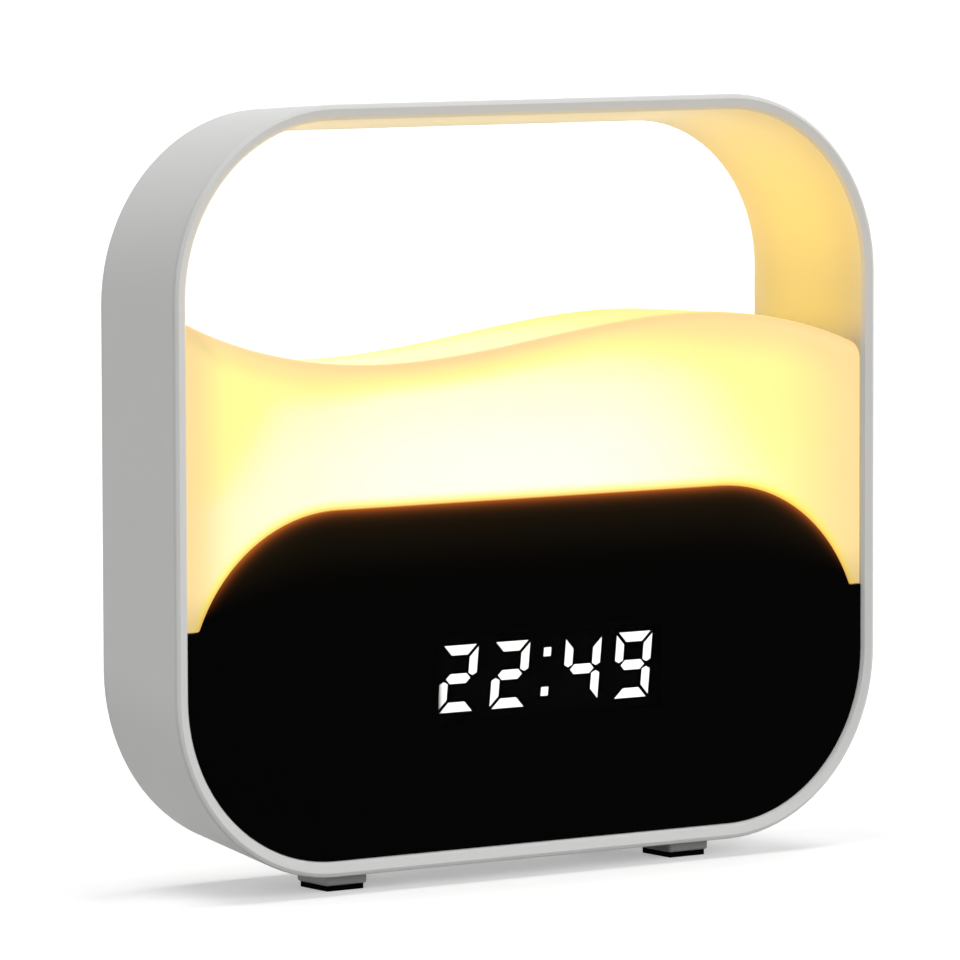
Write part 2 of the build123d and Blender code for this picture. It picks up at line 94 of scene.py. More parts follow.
def new_group(name, inputs, outputs):
    """Shader node group; a socket's last word says whether it is a colour, a normal or else a number."""
    group = bpy.data.node_groups.new(name, "ShaderNodeTree")
    kinds = {"Colour": "NodeSocketColor", "Normal": "NodeSocketVector"}
    for way, labels in (("INPUT", inputs), ("OUTPUT", outputs)):
        for label in labels:
            kind = kinds.get(label.split()[-1], "NodeSocketFloat")
            group.interface.new_socket(label, in_out=way, socket_type=kind)
    return group, group.nodes.new("NodeGroupInput").outputs, group.nodes.new("NodeGroupOutput").inputs


def new_material(name, group=None, values=None):
    """Principled material; a group, with its values, may give colour, roughness and normal."""
    material = bpy.data.materials.new(name)
    material.use_nodes = True
    tree = material.node_tree
    shader = tree.nodes["Principled BSDF"].inputs
    if group:
        skin = add_node(tree, "Group", node_tree=group)
        for label, value in values.items():
            skin.inputs[label].default_value = (*value, 1.0) if "Colour" in label else value
        tree.links.new(skin.outputs["Colour"], shader["Base Color"])
        tree.links.new(skin.outputs["Roughness"], shader["Roughness"])
        tree.links.new(skin.outputs["Normal"], shader["Normal"])
    return material, tree, shader


def dress(material, *names):
    """Give CAD nodes their finish."""
    for name in names:
        for slot in nodes[name].material_slots:
            slot.material = material


def build_moulded_skin():
    """Moulded plastic: slow clouds in the colour and a fine sparked grain."""
    inputs = ("Colour", "Cloud Scale", "Cloudiness", "Grain Scale", "Grain Depth", "Roughness",
              "Roughness Spread")
    group, given, out = new_group("moulded_skin", inputs, ("Colour", "Roughness", "Normal"))
    place = object_place(group)
    cloud = calc(group, "SUBTRACT", noise(group, place, given["Cloud Scale"], detail=3.0), 0.5)
    amount = calc(group, "MULTIPLY_ADD", cloud, given["Cloudiness"], 1.0)
    group.links.new(tinted(group, given["Colour"], amount), out["Colour"])
    grain = noise(group, place, given["Grain Scale"])
    rough = calc(group, "MULTIPLY_ADD", grain, given["Roughness Spread"], given["Roughness"])
    group.links.new(rough, out["Roughness"])
    bump = add_node(group, "Bump", {"Height": grain, "Distance": given["Grain Depth"]})
    group.links.new(bump.outputs["Normal"], out["Normal"])
    return group


moulded_skin = build_moulded_skin()


def moulded_plastic(name, colour, roughness=0.40, cloudiness=0.05, grain_scale=2600.0,
                    grain_depth=0.00001, shine=0.5):
    """Satin moulded plastic of one colour."""
    values = {"Colour": colour, "Cloud Scale": 28.0, "Cloudiness": cloudiness, "Grain Scale": grain_scale,
              "Grain Depth": grain_depth, "Roughness": roughness, "Roughness Spread": 0.08}
    material, _, shader = new_material(name, moulded_skin, values)
    shader["Specular IOR Level"].default_value = shine
    return material


dress(moulded_plastic("shell_plastic", shell_grey, shine=0.35), "ring_shell")


# Feet: under each end of the front and the back, a darker grey block is pegged into the ring and carries
# a black rubber pad. The pads are soft, dull and a little dusty.

foot_grey = (0.34, 0.34, 0.34)
rubber_black = (0.002, 0.002, 0.002)
feet = ("front_left", "front_right", "rear_left", "rear_right")
foot_plastic = moulded_plastic("foot_plastic", foot_grey, roughness=0.5)
pad_rubber = moulded_plastic("pad_rubber", rubber_black, roughness=0.85, cloudiness=0.5, grain_scale=900.0,
                             grain_depth=0.00003, shine=0.02)
for foot in feet:
    dress(foot_plastic, f"foot_block_{foot}")
    dress(pad_rubber, f"foot_pad_{foot}")


# Front carrier: a black moulded plate glued behind the lens. Its posts take the rear cover's screws,
# and a window in it lets the display through.

carrier_black = (0.008, 0.008, 0.008)
dress(moulded_plastic("carrier_plastic", carrier_black, roughness=0.6), "front_carrier")


# Display module: a block of black resin with the bars of four digits cast into its face. Diodes light
# the bars that show the time, and the others stay milky grey.

resin_black = (0.005, 0.005, 0.005)
unlit_grey = (0.03, 0.03, 0.032)
dress(moulded_plastic("module_resin", resin_black, roughness=0.7), "display_module")
dress(moulded_plastic("unlit_bars", unlit_grey, roughness=0.35), "unlit_segments")


def ease(tree, value, start, end, low=0.0, high=1.0):
    """A value that eases from low to high as the input goes from start to end."""
    feeds = {"Value": value, "From Min": start, "From Max": end, "To Min": low, "To Max": high}
    return add_node(tree, "MapRange", feeds, interpolation_type="SMOOTHSTEP").outputs[0]


bar_white = (1.0, 1.0, 1.0)
material, tree, shader = new_material("lit_bars")
cloud = ease(tree, noise(tree, object_place(tree), scale=900.0), start=0.2, end=0.6, low=0.9)
shader["Base Color"].default_value = (0.8, 0.8, 0.8, 1.0)
shader["Emission Strength"].default_value = 16.0
tree.links.new(tinted(tree, bar_white, cloud), shader["Emission Color"])
dress(material, "lit_segments")


# Circuit boards: glass fibre with a coat of solder resist over copper tracks. The display's, the battery's
# and the main board are green, and the lamp's strip is white. Screws hold the display's and the main board.

resist_green = (0.010, 0.085, 0.030)
track_green = (0.030, 0.150, 0.055)
resist_white = (0.78, 0.78, 0.75)
track_white = (0.66, 0.64, 0.58)


def mixed(tree, share, first, second):
    """Colour that goes from the first to the second as a share goes from 0 to 1."""
    return add_node(tree, "Mix", {0: share, 6: first, 7: second}, data_type="RGBA").outputs[2]


def build_board_skin():
    """Solder resist with tracks that run along the board and across it."""
    inputs = ("Colour", "Track Colour", "Track Scale", "Roughness")
    group, given, out = new_group("board_skin", inputs, ("Colour", "Roughness", "Normal"))
    place = object_place(group)
    spot = add_node(group, "SeparateXYZ", {0: place}).outputs
    flat = add_node(group, "CombineXYZ", {"X": spot["X"], "Y": spot["Z"]}).outputs[0]
    tracks = add_node(group, "TexBrick", {"Vector": flat, "Scale": given["Track Scale"], "Mortar Size": 0.06,
                                          "Brick Width": 1.7, "Row Height": 0.32}).outputs["Fac"]
    patch = ease(group, noise(group, flat, scale=90.0), start=0.45, end=0.52)
    mask = calc(group, "MULTIPLY", tracks, patch)
    group.links.new(mixed(group, mask, given["Colour"], given["Track Colour"]), out["Colour"])
    spread = 0.15
    rough = calc(group, "MULTIPLY_ADD", noise(group, place, scale=700.0), spread, given["Roughness"])
    group.links.new(rough, out["Roughness"])
    bump = add_node(group, "Bump", {"Height": mask, "Distance": 0.00003})
    group.links.new(bump.outputs["Normal"], out["Normal"])
    return group


board_skin = build_board_skin()


def circuit_board(name, colour, track_colour, track_scale, roughness):
    """Coated board of one colour."""
    values = {"Colour": colour, "Track Colour": track_colour, "Track Scale": track_scale,
              "Roughness": roughness}
    return new_material(name, board_skin, values)[0]


green_board = circuit_board("green_board", resist_green, track_green, track_scale=260.0, roughness=0.32)
lamp_board = circuit_board("lamp_board", resist_white, track_white, track_scale=200.0, roughness=0.4)
dress(green_board, "display_board", "main_board", "battery_board")
dress(lamp_board, "led_board")


# Screws: zinc-plated steel with a crossed slot. The plating is a little uneven, and the wire that they
# are cut from leaves fine streaks.

zinc = (0.50, 0.50, 0.49)


def build_bare_metal():
    """Drawn or plated metal with fine streaks along the height."""
    inputs = ("Colour", "Streak Scale", "Roughness")
    group, given, out = new_group("bare_metal", inputs, ("Colour", "Roughness", "Normal"))
    place = object_place(group)
    stretched = add_node(group, "Mapping", {"Vector": place, "Scale": (1.0, 1.0, 0.06)}).outputs[0]
    streaks = noise(group, stretched, given["Streak Scale"], detail=3.0)
    cloud = ease(group, noise(group, place, scale=300.0), start=0.3, end=0.7, low=0.86)
    group.links.new(tinted(group, given["Colour"], cloud), out["Colour"])
    spread = 0.2
    group.links.new(calc(group, "MULTIPLY_ADD", streaks, spread, given["Roughness"]), out["Roughness"])
    bump = add_node(group, "Bump", {"Height": streaks, "Distance": 0.000006})
    group.links.new(bump.outputs["Normal"], out["Normal"])
    return group


bare_metal = build_bare_metal()


def plated_metal(name, colour, roughness, streak_scale=3000.0):
    """Plated or drawn sheet metal."""
    values = {"Colour": colour, "Roughness": roughness, "Streak Scale": streak_scale}
    material, _, shader = new_material(name, bare_metal, values)
    shader["Metallic"].default_value = 1.0
    return material


dress(plated_metal("zinc_plate", zinc, roughness=0.26), "display_screws", "board_screws", "cover_screws")


# Display lens: a sheet of smoked acrylic with polished edges. It is black until the bars behind it are
# lit. Along its top edge, a painted glow of a thread and a faint halo of amber stands in for the lamp's
# light.

mm = 0.001
lens_half_width = 80.7 * mm
lens_top = 74.8 * mm
lens_corner = 34.6 * mm
window_frame = 0.6 * mm
window_side_fade = 1.6 * mm
window_level_fade = 2.0 * mm
shoulder_low = 55.0 * mm
shoulder_high = 69.0 * mm
smoke = (0.080, 0.078, 0.076)
painted_thread_amber = (1.0, 0.22, 0.035)
painted_halo_amber = (1.0, 0.60, 0.20)


def build_lens_edge():
    """Distance inwards from the lens's rounded top edge, below 0 outside it."""
    group, _, out = new_group("lens_edge", (), ("Distance",))
    spot = add_node(group, "SeparateXYZ", {0: object_place(group)}).outputs
    beside = calc(group, "SUBTRACT", calc(group, "ABSOLUTE", spot["X"]), lens_half_width - lens_corner)
    above = calc(group, "SUBTRACT", spot["Z"], lens_top - lens_corner)
    across = calc(group, "POWER", calc(group, "MAXIMUM", beside, 0.0), 2.0)
    up = calc(group, "POWER", calc(group, "MAXIMUM", above, 0.0), 2.0)
    reach = calc(group, "SQRT", calc(group, "ADD", across, up))
    group.links.new(calc(group, "SUBTRACT", lens_corner, reach), out["Distance"])
    return group


lens_edge = build_lens_edge()


def fading(tree, distance, depth, strength):
    """Strength that dies away with distance, to about a third at each depth."""
    return calc(tree, "MULTIPLY", calc(tree, "EXPONENT", calc(tree, "DIVIDE", distance, -depth)), strength)


material, tree, shader = new_material("smoked_acrylic")
spot = add_node(tree, "SeparateXYZ", {0: object_place(tree)}).outputs
window_low, window_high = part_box("display_module")
window_middle = (window_low + window_high) / 2
window_half = (window_high - window_low) / 2
clear_x = window_half.x - window_frame
clear_z = window_half.z - window_frame
beside = calc(tree, "ABSOLUTE", calc(tree, "SUBTRACT", spot["X"], window_middle.x))
above = calc(tree, "ABSOLUTE", calc(tree, "SUBTRACT", spot["Z"], window_middle.z))
clear = calc(tree, "MULTIPLY", ease(tree, beside, clear_x, clear_x - window_side_fade),
             ease(tree, above, clear_z, clear_z - window_level_fade))
tree.links.new(tinted(tree, smoke, clear), shader["Base Color"])
shader["Transmission Weight"].default_value = 1.0
shader["Roughness"].default_value = 0.0
shader["IOR"].default_value = 1.07

# Painted light: the lens glows amber along its top edge as if lit by the lamp, and the glow fades out below
# the shoulders.
inside = calc(tree, "MAXIMUM", add_node(tree, "Group", node_tree=lens_edge).outputs["Distance"], 0.0)
painted_thread = tinted(tree, painted_thread_amber, fading(tree, inside, depth=0.65 * mm, strength=0.42))
painted_halo = tinted(tree, painted_halo_amber, fading(tree, inside, depth=6.0 * mm, strength=0.016))
glow = add_node(tree, "VectorMath", {0: painted_thread, 1: painted_halo}, operation="ADD").outputs[0]
shoulders = ease(tree, spot["Z"], shoulder_low, shoulder_high)
tree.links.new(tinted(tree, glow, shoulders), shader["Emission Color"])
shader["Emission Strength"].default_value = 1.0
dress(material, "display_lens")


# Lamp: a strip of warm diodes stands in a tray of glossy white plastic behind the hood. The tray throws
# their light forward and up, and a cast of yellow phosphor covers each diode.

tray_white = (0.86, 0.86, 0.84)
phosphor_yellow = (0.85, 0.62, 0.16)
diode_light = (1.0, 0.72, 0.28)
dress(moulded_plastic("tray_white", tray_white, roughness=0.22), "reflector_tray")

material, tree, shader = new_material("diode_phosphor")
grain = ease(tree, noise(tree, object_place(tree), scale=1500.0), start=0.3, end=0.7, low=0.85)
tree.links.new(tinted(tree, phosphor_yellow, grain), shader["Base Color"])
tree.links.new(tinted(tree, diode_light, grain), shader["Emission Color"])
shader["Emission Strength"].default_value = 3.0
shader["Roughness"].default_value = 0.35
dress(material, "lamp_leds")


# Diffuser hood: a milky moulded shell whose top is a wave. Lit from inside, it is nearly white in front
# of the diodes, its heart, yellow further out, and amber at its ends and along the thick rounded edge.

milk_base = (0.22, 0.17, 0.08)
edge_amber = (0.82, 0.59, 0.25)
heart_white = (0.82, 0.84, 0.81)
top_red = 0.76

# Height of the wave along the width, and the heart's brightness along the width and up the height, each
# with the length in millimetres first.
crest_low = 100.0
crest_high = 115.0
crest_heights = [(-81.2, 112.9), (-70.0, 108.2), (-60.0, 105.4), (-50.0, 103.6), (-36.0, 102.6),
                 (-20.0, 103.2), (0.0, 105.7), (20.0, 108.4), (39.0, 109.7), (50.0, 109.3),
                 (60.0, 108.1), (70.0, 105.9), (81.2, 102.1)]
heart_across = [(-81.2, 0.0), (-73.0, 0.0), (-66.0, 0.27), (-58.0, 0.60), (-50.0, 0.71), (-40.0, 0.83),
                (-20.0, 0.97), (-4.9, 1.0), (10.0, 0.98), (20.0, 0.92), (30.0, 0.78), (40.0, 0.53),
                (50.0, 0.20), (58.0, 0.03), (81.2, 0.0)]
heart_up = [(76.0, 1.0), (81.6, 1.0), (87.2, 0.93), (91.4, 0.82), (95.6, 0.69), (98.4, 0.52),
            (101.2, 0.32), (104.0, 0.13)]
heart_middle = -4.9 * mm
heart_low = heart_up[0][0] * mm
heart_high = heart_up[-1][0] * mm


def between(tree, share, low, high):
    """A value that goes evenly from low to high as a share goes from 0 to 1."""
    return calc(tree, "MULTIPLY_ADD", share, high - low, low)


def curve_along(tree, value, points, low=0.0, high=1.0):
    """Smooth curve between a low and a high amount, through points of millimetres and amount."""
    start = points[0][0]
    end = points[-1][0]
    feeds = {"Value": value, "From Min": start * mm, "From Max": end * mm}
    made = add_node(tree, "FloatCurve", {"Value": add_node(tree, "MapRange", feeds).outputs[0]})
    line = made.mapping.curves[0]
    for _ in points[2:]:
        line.points.new(0.5, 0.5)
    for point, (length, amount) in zip(line.points, points):
        point.location = ((length - start) / (end - start), (amount - low) / (high - low))
    made.mapping.update()
    return between(tree, made.outputs[0], low, high)


material, tree, shader = new_material("milky_hood")
coords = add_node(tree, "TexCoord").outputs
spot = add_node(tree, "SeparateXYZ", {0: coords["Object"]}).outputs
facing = add_node(tree, "SeparateXYZ", {0: coords["Normal"]}).outputs
crest = curve_along(tree, spot["X"], crest_heights, crest_low, crest_high)
drop = calc(tree, "SUBTRACT", calc(tree, "MULTIPLY", crest, mm), spot["Z"])
outside = calc(tree, "MULTIPLY", add_node(tree, "Group", node_tree=lens_edge).outputs["Distance"], -1.0)

# The shade under the crest is deepest at the two ends.
shade_right = ease(tree, spot["X"], 15 * mm, 55 * mm, low=0.0, high=7.0 * mm)
shade_left = ease(tree, spot["X"], -30 * mm, -60 * mm, low=4.6 * mm, high=7.6 * mm)
shade = calc(tree, "ADD", shade_right, shade_left)
shade_start = calc(tree, "MULTIPLY", shade, 0.65)
shade_end = calc(tree, "MULTIPLY", shade, 1.55)

# The heart narrows upwards and stays clear of that shade.
rise = add_node(tree, "MapRange", {"Value": spot["Z"], "From Min": heart_low, "From Max": heart_high})
narrowing = between(tree, rise.outputs[0], low=0.88, high=1.18)
from_middle = calc(tree, "SUBTRACT", spot["X"], heart_middle)
heart_x = calc(tree, "MULTIPLY_ADD", from_middle, narrowing, heart_middle)
heart_side = curve_along(tree, heart_x, heart_across)
heart = calc(tree, "MULTIPLY", heart_side, curve_along(tree, spot["Z"], heart_up))
heart = calc(tree, "MULTIPLY", heart, ease(tree, drop, shade_start, shade_end))

# Yellow fades to amber at the crest, at both ends and along the lens.
mellow = calc(tree, "MULTIPLY", ease(tree, drop, 0.3 * mm, shade), ease(tree, spot["X"], -81 * mm, -70 * mm))
mellow = calc(tree, "MULTIPLY", mellow, ease(tree, spot["X"], 82.5 * mm, 57 * mm))
green = between(tree, mellow, edge_amber[1], heart_white[1])
green = calc(tree, "MULTIPLY", green, ease(tree, outside, 0.0, 1.0 * mm, low=0.6))
green = calc(tree, "MULTIPLY", green, ease(tree, drop, 0.0, 2.5 * mm, low=0.89))
blue = between(tree, heart, edge_amber[2], heart_white[2])
blue = calc(tree, "MULTIPLY", blue, ease(tree, outside, 0.0, 2.7 * mm, low=0.12))
front = add_node(tree, "CombineXYZ", {"X": heart_white[0], "Y": green, "Z": blue}).outputs[0]

# The top of the wave is palest on the left and near the front.
pale = calc(tree, "MULTIPLY", ease(tree, spot["X"], 35 * mm, -10 * mm, low=0.14, high=0.40),
            ease(tree, spot["Y"], 14 * mm, 2 * mm, low=0.5))
warm = ease(tree, spot["X"], 40 * mm, -5 * mm, low=0.62, high=0.76)
upper = add_node(tree, "CombineXYZ", {"X": top_red, "Y": warm, "Z": pale}).outputs[0]
lit = mixed(tree, ease(tree, facing["Z"], start=0.90, end=0.985), front, upper)

# Less light reaches the tips beside the lens and the upper left corner, and the milk is a little cloudy.
ends = ease(tree, spot["Z"], 52 * mm, 62 * mm, low=0.68)
corner = calc(tree, "MAXIMUM", ease(tree, spot["X"], -81 * mm, -71 * mm), ease(tree, drop, 0.0, 7 * mm))
milk = noise(tree, coords["Object"], scale=45.0, detail=3.0)
milk = ease(tree, milk, start=0.25, end=0.75, low=0.975)
level = calc(tree, "MULTIPLY", calc(tree, "MULTIPLY", ends, milk), ease(tree, corner, 0.0, 1.0, low=0.82))
tree.links.new(tinted(tree, lit, level), shader["Emission Color"])
shader["Emission Strength"].default_value = 1.0
tree.links.new(tinted(tree, milk_base, milk), shader["Base Color"])
shader["Roughness"].default_value = 0.45
peel = add_node(tree, "Bump", {"Height": noise(tree, coords["Object"], scale=500.0), "Distance": 0.00002})
tree.links.new(peel.outputs["Normal"], shader["Normal"])
dress(material, "diffuser")


# Main board's parts: push switches in black cups with plungers, the controller in black epoxy with a
# dot at its first leg, a white nylon connector, and the power inlet's drawn steel shell and tongue.

switch_black = (0.015, 0.015, 0.016)
plunger_black = (0.05, 0.05, 0.05)
nylon = (0.74, 0.72, 0.66)
inlet_steel = (0.66, 0.66, 0.65)
tongue_black = (0.010, 0.010, 0.011)
epoxy_black = (0.014, 0.014, 0.015)
dot_inset = 1.3 * mm
dot_radius = 0.5 * mm
dot_edge = 0.05 * mm
button_names = ("mode", "down", "light", "up", "alarm")

dress(moulded_plastic("switch_cup", switch_black, roughness=0.45), "switch_bodies")
plunger_plastic = moulded_plastic("plunger_plastic", plunger_black, roughness=0.35)
dress(plunger_plastic, *[f"plunger_{name}" for name in button_names])
dress(moulded_plastic("nylon_white", nylon, roughness=0.45, cloudiness=0.1), "board_connector")
dress(plated_metal("inlet_steel", inlet_steel, roughness=0.24, streak_scale=2200.0), "usb_socket")
dress(moulded_plastic("tongue_plastic", tongue_black, roughness=0.4), "usb_tongue")

chip_low, chip_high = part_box("controller_chip")
first_leg = (chip_low.x + dot_inset, chip_high.y, chip_high.z - dot_inset)
material, tree, shader = new_material("chip_epoxy", moulded_skin, {
    "Colour": epoxy_black, "Cloud Scale": 200.0, "Cloudiness": 0.3, "Grain Scale": 4200.0,
    "Grain Depth": 0.00001, "Roughness": 0.55, "Roughness Spread": 0.1})
away = add_node(tree, "VectorMath", {0: object_place(tree), 1: first_leg}, operation="DISTANCE")
dot = ease(tree, away.outputs["Value"], dot_radius + dot_edge, dot_radius - dot_edge, high=0.05)
resin = shader["Base Color"].links[0].from_socket
lifted = add_node(tree, "VectorMath", {0: resin, 1: dot}, operation="ADD")
tree.links.new(lifted.outputs[0], shader["Base Color"])
dress(material, "controller_chip")


# Battery: a flat cell in a silver laminate pouch. Its skin is pressed foil, faintly creased, and its
# protection board sits on top.

foil = (0.62, 0.63, 0.65)
material, tree, shader = new_material("cell_pouch")
stretched = add_node(tree, "Mapping", {"Vector": object_place(tree), "Scale": (0.5, 1.0, 1.6)}).outputs[0]
creases = noise(tree, stretched, scale=160.0, detail=4.0)
shader["Metallic"].default_value = 0.8
# Painted shade: the foil is made darker in the hollows of its creases.
shade = ease(tree, creases, start=0.3, end=0.7, low=0.85)
tree.links.new(tinted(tree, foil, shade), shader["Base Color"])
tree.links.new(ease(tree, creases, start=0.3, end=0.7, low=0.30, high=0.42), shader["Roughness"])
bump = add_node(tree, "Bump", {"Height": creases, "Distance": 0.0001})
tree.links.new(bump.outputs["Normal"], shader["Normal"])
dress(material, "battery_cell")


# Speaker: a pressed steel basket with a paper cone and a ferrite magnet. The cone is felted pulp, dark
# grey, and shows a little through the holes of the grille.

basket_steel = (0.40, 0.40, 0.41)
pulp_grey = (0.045, 0.043, 0.040)
ferrite_grey = (0.030, 0.030, 0.032)
dress(plated_metal("basket_steel", basket_steel, roughness=0.35), "speaker_frame")
dress(moulded_plastic("cone_pulp", pulp_grey, roughness=0.85, cloudiness=0.6, grain_scale=1500.0,
                      grain_depth=0.00005), "speaker_cone")
dress(moulded_plastic("ferrite", ferrite_grey, roughness=0.6, cloudiness=0.4, grain_scale=1800.0,
                      grain_depth=0.00003), "speaker_magnet")


# Rear cover: a plate of the ring's grey plastic with a coarser spark finish, let into the ring's rabbet
# and held by screws. It has the holes for the set buttons, the power inlet and the speaker.

cover_grey = (0.64, 0.64, 0.635)
dress(moulded_plastic("cover_plastic", cover_grey, roughness=0.5, grain_scale=1700.0, grain_depth=0.00003),
      "rear_cover")


# Set buttons: darker grey caps in the rear cover. Each carries a raised mark in white, moulded as a
# second shot: a ring, a minus, a sun, a plus and a bell.

button_grey = (0.33, 0.33, 0.335)
mark_pale = (0.80, 0.80, 0.79)
mark_rise = 0.25 * mm
mark_edge = 0.06 * mm
mark_root = 0.05 * mm
ring_radius = 1.9 * mm
ring_hole = 1.35 * mm
bar_length = 3.4 * mm
bar_width = 0.7 * mm
arm_gap = 0.01 * mm
sun_radius = 0.95 * mm
ray_count = 8
ray_reach = 1.75 * mm
ray_width = 0.4 * mm
ray_length = 0.8 * mm
bell_radius = 1.15 * mm
bell_rise = 0.6 * mm
bell_waist = 0.05 * mm
bell_flare = 0.55
clapper_radius = 0.45 * mm
clapper_drop = 2.35 * mm

button_plastic = moulded_plastic("button_plastic", button_grey, roughness=0.48)
dress(button_plastic, *[f"button_{name}" for name in button_names])
mark_white = moulded_plastic("mark_white", mark_pale, roughness=0.45, grain_scale=3000.0)


def pick(*pieces):
    """Select some pieces alone and make the first one active."""
    bpy.ops.object.select_all(action="DESELECT")
    for piece in pieces:
        piece.select_set(True)
    bpy.context.view_layer.objects.active = pieces[0]


def stood_up(place):
    """The new flat primitive, turned to face the back and moved to its place."""
    flat = bpy.context.object
    flat.location = place
    flat.rotation_euler = (radians(-90), 0.0, 0.0)
    bpy.ops.object.transform_apply(location=True, rotation=True, scale=True)
    return flat


def raised(flat):
    """Extrude a flat start by the height of a mark and break its outer edges."""
    bpy.ops.object.mode_set(mode="EDIT")
    bpy.ops.mesh.select_mode(type="FACE")
    bpy.ops.mesh.select_all(action="SELECT")
    bpy.ops.mesh.extrude_region_move(TRANSFORM_OT_translate={"value": (0.0, mark_rise + mark_root, 0.0)})
    bpy.ops.mesh.bevel(offset=mark_edge, segments=2, affect="EDGES")
    bpy.ops.mesh.select_all(action="SELECT")
    bpy.ops.mesh.normals_make_consistent(inside=False)
    bpy.ops.object.mode_set(mode="OBJECT")
    return flat


def flat_disc(place, radius, sides):
    """Flat round start of a mark."""
    bpy.ops.object.select_all(action="DESELECT")
    bpy.ops.mesh.primitive_circle_add(vertices=sides, radius=radius, fill_type="NGON")
    return stood_up(place)


def plate(place, width, height):
    """Raised plate."""
    bpy.ops.object.select_all(action="DESELECT")
    bpy.ops.mesh.primitive_plane_add(size=1.0)
    bpy.context.object.scale = (width, height, 1.0)
    return raised(stood_up(place))


def turned_copies(piece, count, centre):
    """A piece and its copies, turned about a centre to make a full round."""
    copies = [piece]
    for i in range(1, count):
        pick(piece)
        bpy.ops.object.duplicate()
        bpy.ops.transform.rotate(value=2 * pi * i / count, orient_axis="Y", center_override=centre)
        bpy.ops.object.transform_apply(location=True, rotation=True, scale=True)
        copies.append(bpy.context.object)
    return copies


def ring_mark(place):
    """Raised ring, inset from a disc."""
    flat = flat_disc(place, ring_radius, sides=32)
    bpy.ops.object.mode_set(mode="EDIT")
    bpy.ops.mesh.select_all(action="SELECT")
    bpy.ops.mesh.inset(thickness=ring_radius - ring_hole)
    bpy.ops.mesh.delete(type="FACE")
    bpy.ops.object.mode_set(mode="OBJECT")
    return [raised(flat)]


def minus_mark(place):
    """A single bar."""
    return [plate(place, bar_length, bar_width)]


def plus_mark(place):
    """A bar with an arm above and below it."""
    arm_length = (bar_length - bar_width) / 2 - arm_gap
    arm_reach = bar_width / 2 + arm_gap + arm_length / 2
    arm = plate(place + Vector((0, 0, arm_reach)), bar_width, arm_length)
    return minus_mark(place) + turned_copies(arm, 2, place)


def sun_mark(place):
    """A disc with rays around it."""
    disc = raised(flat_disc(place, sun_radius, sides=32))
    ray = plate(place + Vector((0, 0, ray_reach)), ray_width, ray_length)
    return [disc] + turned_copies(ray, ray_count, place)


def bell_mark(place):
    """Bell: a disc whose lower rows of points are spread and drawn down to a skirt, with its clapper."""
    crown = place + Vector((0, 0, bell_rise))
    waist = crown + Vector((0, 0, bell_waist))
    flat = flat_disc(crown, bell_radius, sides=24)
    rows = {round(point.co.z / mm, 3) for point in flat.data.vertices if point.co.z < waist.z}
    for row in sorted(rows):
        bpy.ops.object.mode_set(mode="EDIT")
        bpy.ops.mesh.select_mode(type="VERT")
        bpy.ops.mesh.select_all(action="DESELECT")
        bpy.ops.object.mode_set(mode="OBJECT")
        for point in flat.data.vertices:
            point.select = round(point.co.z / mm, 3) == row
        fall = waist.z / mm - row
        bpy.ops.object.mode_set(mode="EDIT")
        bpy.ops.transform.resize(value=(1 + bell_flare * fall, 1, 1 + bell_flare), center_override=waist)
        bpy.ops.object.mode_set(mode="OBJECT")
    raised(flat)
    clapper = raised(flat_disc(crown - Vector((0, 0, clapper_drop)), clapper_radius, sides=16))
    return [flat, clapper]


marks = {"mode": ring_mark, "down": minus_mark, "light": sun_mark, "up": plus_mark, "alarm": bell_mark}
for name in button_names:
    low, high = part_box(f"button_{name}")
    middle = (low + high) / 2
    pieces = marks[name](Vector((middle.x, high.y - mark_root, middle.z)))
    pick(*pieces)
    if len(pieces) > 1:
        bpy.ops.object.join()
    mark = bpy.context.object
    mark.name = f"mark_{name}"
    mark.data.materials.append(mark_white)
    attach(mark, f"{name}_button")


# Floor: a broad white studio sweep, plain and dull. It looks white to the camera and in reflections,
# and keeps the shadow under the clock.

floor_size = 30.0
floor_white = 0.90
floor_bounce = 0.35
floor_lift = 0.35


def looked_at(tree):
    """1 for rays that come from the camera, a gloss or a clear piece, otherwise 0."""
    ray = add_node(tree, "LightPath").outputs
    shine = calc(tree, "MAXIMUM", ray["Is Glossy Ray"], ray["Is Transmission Ray"])
    return calc(tree, "MAXIMUM", ray["Is Camera Ray"], shine)


bpy.ops.object.select_all(action="DESELECT")
bpy.ops.mesh.primitive_plane_add(size=floor_size)
floor = bpy.context.object
floor.name = "studio_floor"
material, tree, shader = new_material("studio_white")
shader["Roughness"].default_value = 1.0
shader["Specular IOR Level"].default_value = 0.0
shader["Emission Color"].default_value = (1.0, 1.0, 1.0, 1.0)
seen = looked_at(tree)
white = tinted(tree, (1.0, 1.0, 1.0), between(tree, seen, floor_bounce, floor_white))
tree.links.new(white, shader["Base Color"])
tree.links.new(calc(tree, "MULTIPLY", seen, floor_lift), shader["Emission Strength"])
floor.data.materials.append(material)
floor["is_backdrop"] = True


# Studio light: white surroundings, two broad lights overhead, one each from the front and the rear, and
# a weak one from the left. They give the pale plastic its soft grades, and keep the shadow short.

surroundings = 0.15
world = bpy.data.worlds.new("studio")
bpy.context.scene.world = world
world.use_nodes = True
tree = world.node_tree
background = tree.nodes["Background"].inputs
background["Color"].default_value = (1.0, 1.0, 1.0, 1.0)
tree.links.new(between(tree, looked_at(tree), surroundings, 1.0), background["Strength"])


def broad_light(name, come_from, strength, spread):
    """Even light from a direction, softened over an angle and without glare of its own."""
    data = bpy.data.lights.new(name, "SUN")
    data.energy = strength
    data.angle = radians(spread)
    lamp = bpy.data.objects.new(name, data)
    bpy.context.scene.collection.objects.link(lamp)
    lamp.rotation_euler = Vector(come_from).to_track_quat("Z", "Y").to_euler()
    lamp.visible_glossy = False


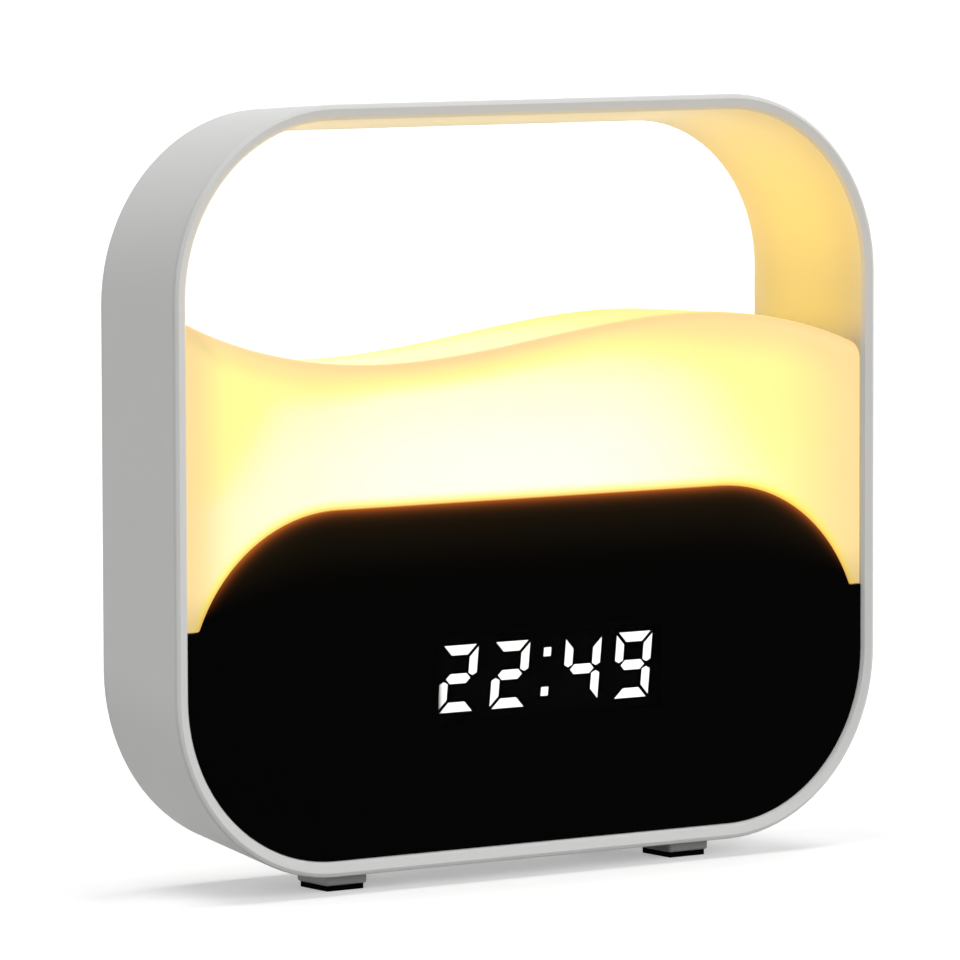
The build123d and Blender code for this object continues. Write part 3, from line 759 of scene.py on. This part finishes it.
broad_light("upper_left_light", (-0.30, 0.0, 0.954), strength=0.80, spread=28.0)
broad_light("upper_right_light", (0.30, 0.0, 0.954), strength=0.80, spread=28.0)
broad_light("front_light", (0.43, -0.84, 0.34), strength=1.80, spread=40.0)
broad_light("rear_light", (0.15, 0.93, 0.33), strength=0.70, spread=40.0)
broad_light("left_light", (-1.0, 0.0, 0.15), strength=0.55, spread=4.0)


# Lamp glow: the warm light that the hood throws up into the handle. Small panels over the hood stand for
# it, one to each side, one upwards, and a narrow one at the front for the lip of the rim.

glow_amber = (1.0, 0.59, 0.03)
side_place = Vector((0.0, 0.0, 123.0)) * mm
side_size = Vector((24.0, 24.0)) * mm
up_place = Vector((0.0, 0.0, 116.0)) * mm
up_size = Vector((120.0, 24.0)) * mm
front_place = Vector((0.0, -16.5, 113.0)) * mm
front_size = Vector((120.0, 4.0)) * mm


def glow_panel(name, place, aim, size, power, spread):
    """Warm panel light that isn't itself seen."""
    data = bpy.data.lights.new(name, "AREA")
    data.shape = "RECTANGLE"
    data.size = size.x
    data.size_y = size.y
    data.energy = power
    data.spread = radians(spread)
    data.color = glow_amber
    lamp = bpy.data.objects.new(name, data)
    bpy.context.scene.collection.objects.link(lamp)
    lamp.location = place
    lamp.rotation_euler = Vector(aim).to_track_quat("-Z", "Y").to_euler()
    lamp.visible_camera = False
    lamp.visible_glossy = False


glow_panel("glow_right", side_place, (1, 0, 0), side_size, power=0.0080, spread=70.0)
glow_panel("glow_left", side_place, (-1, 0, 0), side_size, power=0.0080, spread=70.0)
glow_panel("glow_up", up_place, (0, 0, 1), up_size, power=0.0135, spread=180.0)
glow_panel("glow_front", front_place, (0, 0, 1), front_size, power=0.006, spread=180.0)


# Camera: a long lens to the left of the clock and a little above it, about one and a half metres away.
# The colours go to the picture as they are.

camera_data = bpy.data.cameras.new("camera")
camera_data.sensor_width = 36.0
camera_data.lens = 281.1
camera = bpy.data.objects.new("camera", camera_data)
bpy.context.scene.collection.objects.link(camera)
camera.location = (-0.84978, -1.20938, 0.2039)
camera.rotation_euler = (radians(85.104), radians(0.154), radians(-35.032))
bpy.context.scene.camera = camera
bpy.context.scene.view_settings.view_transform = "Standard"

low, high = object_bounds()
